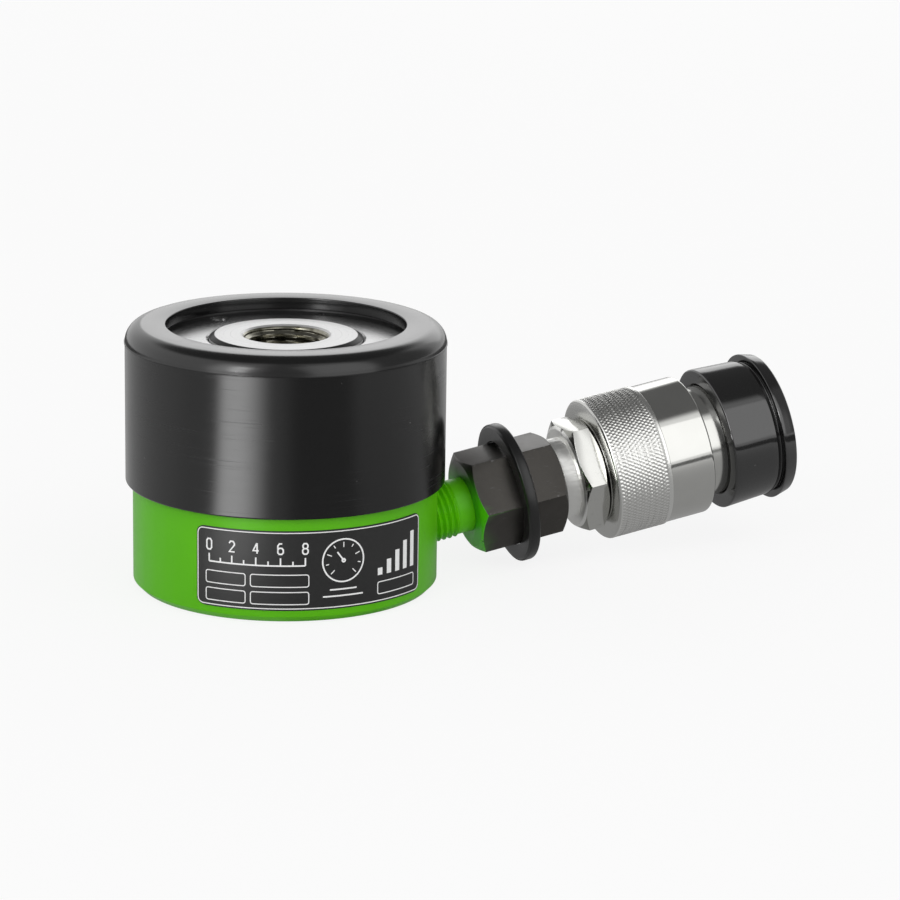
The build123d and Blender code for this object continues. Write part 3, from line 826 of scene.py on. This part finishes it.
# Cylinder. The dressed body's plain collar gives way to a threaded one
painted_body = softened(
    "painted_body", "cylinder_body", finishes["body_green"], "root", 0.3 * mm
)
recess(painted_body.data, on_collar, body_radius - 0.8 * collar_lining)
collar_section = [
    (collar_low, body_radius),
    (collar_high, body_radius),
    (collar_high, body_radius - collar_lining),
    (collar_low, body_radius - collar_lining),
]
linked(
    "collar_thread",
    turned(
        "collar_thread",
        collar_section,
        True,
        240,
        upright_place,
        relief=collar_relief,
        marked=lambda height, radius: near(radius, body_radius),
        step=collar_pitch / 10,
    ),
    finishes["body_green"],
    "root",
)
turned_copy(
    "glossy_protector",
    "collar_protector",
    upright_place,
    finishes["moulded_black"],
    "protector_body",
    "moulded_black",
    0.25 * mm,
    columns=360,
)
softened("coated_gland", "gland_ring", finishes["gland_black"], "root")
turned_copy(
    "threaded_plunger",
    "plunger",
    upright_place,
    finishes["ground_steel"],
    "plunger_body",
    "ground_steel",
    0.12 * mm,
    relief=saddle_relief,
    marked=lambda height, radius: near(radius, saddle_radius),
    step=saddle_pitch / 12,
)
softened("lock_screws", "gland_lock_screws", finishes["gland_black"], "root")

# Port and coupler
turned_copy(
    "painted_nipple",
    "port_nipple",
    port_place,
    finishes["nipple_green"],
    "root",
    "nipple_green",
    0.1 * mm,
    columns=160,
    relief=nipple_relief,
    marked=lambda height, radius: near(radius, nipple_radius),
    step=nipple_pitch / 12,
)
softened("oxide_adapter", "hex_adapter", finishes["black_oxide"], "root", 0.14 * mm)
turned_copy(
    "stretched_ring",
    "rubber_ring",
    port_place,
    finishes["ring_rubber"],
    "root",
    "ring_rubber",
    0.2 * mm,
)
softened("plated_tail", "coupler_tail", finishes["plated_steel"], "root", 0.14 * mm)
turned_copy(
    "plated_barrel",
    "coupler_barrel",
    port_place,
    finishes["plated_steel"],
    "root",
    "plated_steel",
    0.12 * mm,
)
turned_copy(
    "knurled_nut",
    "coupling_nut",
    port_place,
    finishes["plated_knurl"],
    "nut_body",
    "plated_knurl",
    0.12 * mm,
    columns=knurl_columns,
    relief=nut_relief,
    marked=lambda height, radius: near(radius, knurl_radius) or near(radius, nut_thread_radius),
    step=knurl_row_step,
)
turned_copy(
    "glossy_dust_cap",
    "dust_cap",
    port_place,
    finishes["cap_black"],
    "dust_cap_body",
    "cap_black",
    0.25 * mm,
)

# Springs
closing_spring("return_coil", "return_spring", "plunger_slide", upright_place)
closing_spring("poppet_coil", "poppet_spring", "poppet_slide", port_place)

# Label print: a thin border, a stroke scale with plain numbers, empty fields, a dial and bars
label_low, label_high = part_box("label_plate")
label_points = [vertex.co.xy for vertex in nodes["label_plate"].data.vertices]
label_middle = sum((point.normalized() for point in label_points), Vector((0, 0)))
label_heading = math.atan2(label_middle.y, label_middle.x)
label_radius = max(point.length for point in label_points)
label_turns = [math.atan2(point.y, point.x) - label_heading for point in label_points]
label_half_turn = max(abs(math.remainder(turn, math.tau)) for turn in label_turns)
label_half_width = label_half_turn * label_radius
label_half_height = (label_high.z - label_low.z) / 2
label_centre_height = (label_low.z + label_high.z) / 2
print_top = label_radius + 0.05 * mm
print_foot = label_radius + 0.01 * mm
fine_line = 0.22 * mm
bold_line = 0.34 * mm
mitre_limit = 1.6


# Digits as strokes on a grid, 2 wide and 4 high: whether each one closes on itself, and its path
digit_paths = {
    0: [(True, [(0.5, 0), (1.5, 0), (2, 0.7), (2, 3.3), (1.5, 4), (0.5, 4), (0, 3.3), (0, 0.7)])],
    2: [(False, [(0, 3.2), (0.5, 4), (1.5, 4), (2, 3.3), (2, 2.6), (0, 0), (2.1, 0)])],
    4: [(False, [(1.5, 0), (1.5, 4)]), (False, [(1.4, 4), (0, 1.1), (2.1, 1.1)])],
    6: [
        (True, [(0.5, 0), (1.5, 0), (2, 0.6), (2, 1.7), (1.5, 2.3), (0.5, 2.3), (0, 1.7), (0, 0.6)]),
        (False, [(0, 1.4), (0, 3.2), (0.6, 4), (1.6, 4)]),
    ],
    8: [
        (True, [(0.5, 0), (1.5, 0), (2, 0.6), (2, 1.5), (1.5, 2.1), (0.5, 2.1), (0, 1.5), (0, 0.6)]),
        (
            True,
            [(0.5, 2.1), (1.5, 2.1), (1.9, 2.7), (1.9, 3.4), (1.5, 4), (0.5, 4), (0.1, 3.4), (0.1, 2.7)],
        ),
    ],
}


class Print:
    """Flat strokes and patches, wrapped round the body as thin closed solids."""

    def __init__(self):
        self.points = []
        self.faces = []

    def wrapped(self, across, height, radius):
        angle = label_heading + across / label_radius
        return Vector(
            (radius * math.cos(angle), radius * math.sin(angle), label_centre_height + height)
        )

    def patch(self, outline):
        """A convex outline, given anticlockwise as the label is looked at."""
        first = len(self.points)
        count = len(outline)
        for radius in (print_top, print_foot):
            self.points += [self.wrapped(across, height, radius) for across, height in outline]
        self.faces.append(tuple(first + index for index in range(count)))
        self.faces.append(tuple(first + count + index for index in reversed(range(count))))
        for index in range(count):
            beside = (index + 1) % count
            top = (first + beside, first + index)
            foot = (first + count + index, first + count + beside)
            self.faces.append(top + foot)

    def stroke(self, path, width, closed=False):
        """A line of one width along a path, with mitred corners."""
        path = [Vector(point) for point in path]
        count = len(path)
        first = len(self.points)
        for index, point in enumerate(path):
            before = point - path[index - 1] if closed or index else path[1] - point
            after = path[(index + 1) % count] - point if closed or index < count - 1 else before
            heading = before.normalized() + after.normalized()
            heading.normalize()
            mitre = min(mitre_limit, 1 / max(0.1, heading.dot(after.normalized())))
            aside = Vector((-heading.y, heading.x)) * width / 2 * mitre
            for radius, edge in (
                (print_top, point + aside),
                (print_top, point - aside),
                (print_foot, point - aside),
                (print_foot, point + aside),
            ):
                self.points.append(self.wrapped(edge.x, edge.y, radius))
        for index in range(count if closed else count - 1):
            here = first + index * 4
            there = first + (index + 1) % count * 4
            for corner in range(4):
                beside = (corner + 1) % 4
                self.faces.append((here + corner, here + beside, there + beside, there + corner))
        if not closed:
            end = first + (count - 1) * 4
            self.faces.append((first + 3, first + 2, first + 1, first))
            self.faces.append((end, end + 1, end + 2, end + 3))

    def line(self, start, end, width):
        """A straight stroke, with enough points to follow the body."""
        start = Vector(start)
        end = Vector(end)
        parts = max(1, round((end - start).length / mm))
        self.stroke([start.lerp(end, part / parts) for part in range(parts + 1)], width)

    def arc(self, middle, radius, start, end, width):
        """An arc, with its angles in degrees. A whole turn closes on itself."""
        whole = abs(end - start) >= 360
        parts = max(6, round(abs(end - start) / 7.5))
        path = []
        for part in range(parts if whole else parts + 1):
            angle = math.radians(start + (end - start) * part / parts)
            path.append(Vector(middle) + Vector((math.cos(angle), math.sin(angle))) * radius)
        self.stroke(path, width, whole)

    def frame(self, left, low, right, high, corner, width):
        """A rectangle with round corners."""
        corner_steps = 4
        path = []
        for middle_x, middle_y, start in (
            (right - corner, high - corner, 0),
            (left + corner, high - corner, 90),
            (left + corner, low + corner, 180),
            (right - corner, low + corner, 270),
        ):
            for part in range(corner_steps + 1):
                angle = math.radians(start + part * 90 / corner_steps)
                path.append(
                    (middle_x + corner * math.cos(angle), middle_y + corner * math.sin(angle))
                )
        whole = []
        for index, point in enumerate(path):
            start = Vector(point)
            end = Vector(path[(index + 1) % len(path)])
            parts = max(1, round((end - start).length / mm))
            whole += [start.lerp(end, part / parts) for part in range(parts)]
        self.stroke(whole, width, True)

    def number(self, value, across, low, height):
        """One digit of the scale, centred on a place."""
        unit = height / 4
        for closed, path in digit_paths[value]:
            placed = [(across + (x - 1) * unit, low + y * unit) for x, y in path]
            self.stroke(placed, bold_line, closed)


label_print = Print()
border_inset = 0.45 * mm
border_corner = 1.3 * mm
border_x = label_half_width - border_inset
border_y = label_half_height - border_inset
label_print.frame(-border_x, -border_y, border_x, border_y, border_corner, fine_line)

# Stroke scale, 0 to 8, with a number at every other mark
stroke_marks = 8
scale_left = -25.2 * mm
scale_step = 2.75 * mm
scale_foot = 1.2 * mm
long_mark = 1.8 * mm
short_mark = 1.0 * mm
digit_foot = scale_foot + 2.7 * mm
digit_height = 2.4 * mm
scale_right = scale_left + stroke_marks * scale_step
label_print.line((scale_left, scale_foot), (scale_right, scale_foot), bold_line)
for value in range(stroke_marks + 1):
    across = scale_left + value * scale_step
    mark = short_mark if value % 2 else long_mark
    label_print.line((across, scale_foot), (across, scale_foot + mark), bold_line)
    if value % 2 == 0:
        label_print.number(value, across, digit_foot, digit_height)

# Empty fields under the scale
field_columns = ((-26.0 * mm, -16.6 * mm), (-15.4 * mm, -2.4 * mm))
field_rows = ((-3.7 * mm, -0.9 * mm), (-7.7 * mm, -4.9 * mm))
field_corner = 0.5 * mm
for left, right in field_columns:
    for low, high in field_rows:
        label_print.frame(left, low, right, high, field_corner, fine_line)

# Dial, with a needle, a hub and two plain lines under it
dial_middle = Vector((5.6, 1.9)) * mm
dial_radius = 4.9 * mm
dial_start = 225
dial_sweep = 270
dial_steps = 8
tick_end = 0.86 * dial_radius
long_tick_start = 0.62 * dial_radius
short_tick_start = 0.72 * dial_radius
needle = Vector((-1.5, 2.0)) * mm
hub_radius = 0.35 * mm
underlines = ((-6.2 * mm, 4.8 * mm), (-4.7 * mm, 3.2 * mm))
label_print.arc(dial_middle, dial_radius, 0, 360, bold_line)
for tick in range(dial_steps + 1):
    angle = math.radians(dial_start - tick * dial_sweep / dial_steps)
    outward = Vector((math.cos(angle), math.sin(angle)))
    tick_start = short_tick_start if tick % 2 else long_tick_start
    label_print.line(dial_middle + outward * tick_start, dial_middle + outward * tick_end, fine_line)
label_print.line(dial_middle, dial_middle + needle, bold_line)
label_print.arc(dial_middle, hub_radius, 0, 360, bold_line)
for height, half in underlines:
    label_print.line((dial_middle.x - half, height), (dial_middle.x + half, height), bold_line)

# Rising bars over one more empty field
bar_count = 5
bar_left = 14.4 * mm
bar_foot = -2.8 * mm
bar_step = 2.6 * mm
bar_width = 1.3 * mm
bar_rise = 1.65 * mm
bars_right = bar_left + (bar_count - 1) * bar_step + bar_width
bar_field = (-7.2 * mm, -4.4 * mm)
for index in range(bar_count):
    left = bar_left + index * bar_step
    right = left + bar_width
    top = bar_foot + (index + 1) * bar_rise
    label_print.patch([(left, bar_foot), (right, bar_foot), (right, top), (left, top)])
label_print.frame(bar_left, bar_field[0], bars_right, bar_field[1], field_corner, fine_line)

print_mesh = bpy.data.meshes.new("label_print")
print_mesh.from_pydata(label_print.points, [], label_print.faces)
linked("label_print", print_mesh, label_white("label_ink"), "root")
print_mesh.shade_flat()

# Studio
photo_pixels = 900
focal_pixels = 3725.2
camera_distance = 826.3 * mm
camera_height = 243.7 * mm
camera_yaw = 0.04552
camera_pitch = 0.25186
camera_roll = 0.0153
photo_turn = -17.8
sensor_width = 36


def photo_frame(vector):
    """Turns a direction or place seen from the photograph's side into the row frame."""
    return Matrix.Rotation(math.radians(photo_turn), 3, "Z") @ Vector(vector)


def add_camera():
    data = bpy.data.cameras.new("camera")
    data.sensor_width = sensor_width
    data.lens = focal_pixels / photo_pixels * sensor_width
    data.clip_start = 0.01
    data.clip_end = 100
    camera = bpy.data.objects.new("camera", data)
    bpy.context.scene.collection.objects.link(camera)
    forward = Vector(
        (
            math.sin(camera_yaw) * math.cos(camera_pitch),
            math.cos(camera_yaw) * math.cos(camera_pitch),
            -math.sin(camera_pitch),
        )
    )
    right = Vector((math.cos(camera_yaw), -math.sin(camera_yaw), 0))
    upward = right.cross(forward)
    rolled_right = right * math.cos(camera_roll) + upward * math.sin(camera_roll)
    rolled_up = upward * math.cos(camera_roll) - right * math.sin(camera_roll)
    turn = Matrix(
        (photo_frame(rolled_right), photo_frame(rolled_up), photo_frame(-forward))
    ).transposed()
    place = photo_frame((0, -camera_distance, camera_height))
    camera.matrix_world = Matrix.Translation(place) @ turn.to_4x4()
    bpy.context.scene.camera = camera


def softbox(name, side, height, distance, width, tall, level):
    """An area lamp. Side is in degrees right of the camera, and height in degrees above the floor."""
    data = bpy.data.lights.new(name, "AREA")
    data.shape = "RECTANGLE"
    data.size = width
    data.size_y = tall
    data.energy = level * math.pi * width * tall
    lamp = bpy.data.objects.new(name, data)
    bpy.context.scene.collection.objects.link(lamp)
    heading = math.radians(side)
    rise = math.radians(height)
    outward = photo_frame(
        (
            math.sin(heading) * math.cos(rise),
            -math.cos(heading) * math.cos(rise),
            math.sin(rise),
        )
    )
    lamp.matrix_world = Matrix.Translation(outward * distance) @ outward.to_track_quat(
        "Z", "Y"
    ).to_matrix().to_4x4()


def degrees_right(right, nearer):
    """Degrees right of the camera, from distances to the right and towards it."""
    return right.math("ARCTAN2", right, nearer) * math.degrees(1)


def add_world():
    """White towards the camera, and a pale tent for the rest. Shiny surfaces see its panels."""
    sky = Finish(bpy.data.worlds.new("studio"))
    heading = sky.node("ShaderNodeTexCoord", output="Generated")
    rise = sky.vector("DOT_PRODUCT", heading, (0, 0, 1), "Value")
    right = sky.vector("DOT_PRODUCT", heading, photo_frame((1, 0, 0)), "Value")
    nearer = sky.vector("DOT_PRODUCT", heading, photo_frame((0, -1, 0)), "Value")
    side = degrees_right(right, nearer)
    roof = (rise - nearer * 0.35).over(0.76, 0.88)
    front = side.over(-24, -12) * side.under(12, 24)
    beside = side.over(62, 74) * side.under(118, 136)
    strip = side.over(-60, -50) * side.under(-34, -26) * rise.under(0.70, 0.90)
    panels = sky.mix(front, grey(0.95), grey(0.35))
    panels = sky.mix(beside, panels, grey(0.30))
    panels = sky.mix(strip, panels, grey(2.4))
    panels = sky.mix(roof, panels, grey(0.13))
    tent = sky.mix(roof, grey(0.95), grey(0.30))
    glossy = sky.node("ShaderNodeLightPath", output="Is Glossy Ray")
    seen = sky.node("ShaderNodeLightPath", output="Is Camera Ray")
    colour = sky.mix(glossy, tent, panels)
    colour = sky.mix(seen, colour, grey(1.0))
    shader = sky.node("ShaderNodeBackground", None, {"Color": colour, "Strength": 1.0})
    sky.node("ShaderNodeOutputWorld", None, {"Surface": shader})
    bpy.context.scene.world = sky.owner


def add_floor():
    """A white floor that keeps a soft shadow. Seen in a reflection it shows a painted reflection instead: grey
    near the object, a glowing bright strip on the left, a dark ring and white beyond.
    """
    half = 4.0
    mesh = bpy.data.meshes.new("floor")
    corners = [(-half, -half, 0), (half, -half, 0), (half, half, 0), (-half, half, 0)]
    mesh.from_pydata([Vector(corner) for corner in corners], [], [(0, 1, 2, 3)])
    floor = bpy.data.objects.new("floor", mesh)
    floor.location.z = -0.0002
    bpy.context.scene.collection.objects.link(floor)
    paper = finish_named("paper")
    from_axis = paper.radius(centre, up)
    edge = from_axis.over(0.255, 0.275) * from_axis.under(0.7, 0.9)
    right = paper.along(centre, photo_frame((1, 0, 0)))
    nearer = paper.along(centre, photo_frame((0, -1, 0)))
    side = degrees_right(right, nearer)
    # Painted reflection: this strip glows at 5.2 times white, and only glossy and transmission rays see the
    # pattern.
    strip = side.over(-47, -38) * side.under(-30, -7) * from_axis.over(0.06, 0.08)
    reflected = paper.mix(side.under(-6, 9), grey(0.18), grey(0.50))
    beside = paper.mix(from_axis.over(0.10, 0.30), grey(0.34), grey(0.70))
    reflected = paper.mix(side.over(38, 50), reflected, beside)
    reflected = paper.mix(side.under(-78, -64), reflected, grey(0.55))
    reflected = paper.mix(strip, reflected, grey(5.2))
    reflected = paper.mix(from_axis.over(0.27, 0.285), reflected, grey(1.0))
    reflected = paper.mix(edge, reflected, grey(0.12))
    grain = paper.noise(paper.place(), 30, 2)
    lit = paper.node(
        "ShaderNodeBsdfPrincipled",
        None,
        {"Base Color": paper.mix(grain, grey(0.86), grey(0.88)), "Roughness": 0.9},
    )
    seen = paper.node("ShaderNodeLightPath", output="Is Camera Ray")
    glossy = paper.node("ShaderNodeLightPath", output="Is Glossy Ray")
    through = paper.node("ShaderNodeLightPath", output="Is Transmission Ray")
    white = paper.node("ShaderNodeEmission", None, {"Color": grey(1.0), "Strength": 1.0})
    mirrored = paper.node("ShaderNodeEmission", None, {"Color": reflected, "Strength": 1.0})
    shown = paper.node("ShaderNodeMixShader", None, {0: seen * 0.85, 1: lit, 2: white})
    shown = paper.node("ShaderNodeMixShader", None, {0: glossy + through, 1: shown, 2: mirrored})
    paper.node("ShaderNodeOutputMaterial", None, {"Surface": shown})
    mesh.materials.append(paper.owner)


add_camera()
add_world()
add_floor()
softbox("key", side=-34, height=24, distance=1.5, width=0.30, tall=0.9, level=5.0)
softbox("window", side=41, height=29, distance=1.6, width=1.5, tall=1.6, level=0.50)
softbox("rim", side=165, height=20, distance=1.6, width=1.2, tall=0.6, level=0.75)
bpy.context.scene.view_settings.view_transform = "Standard"
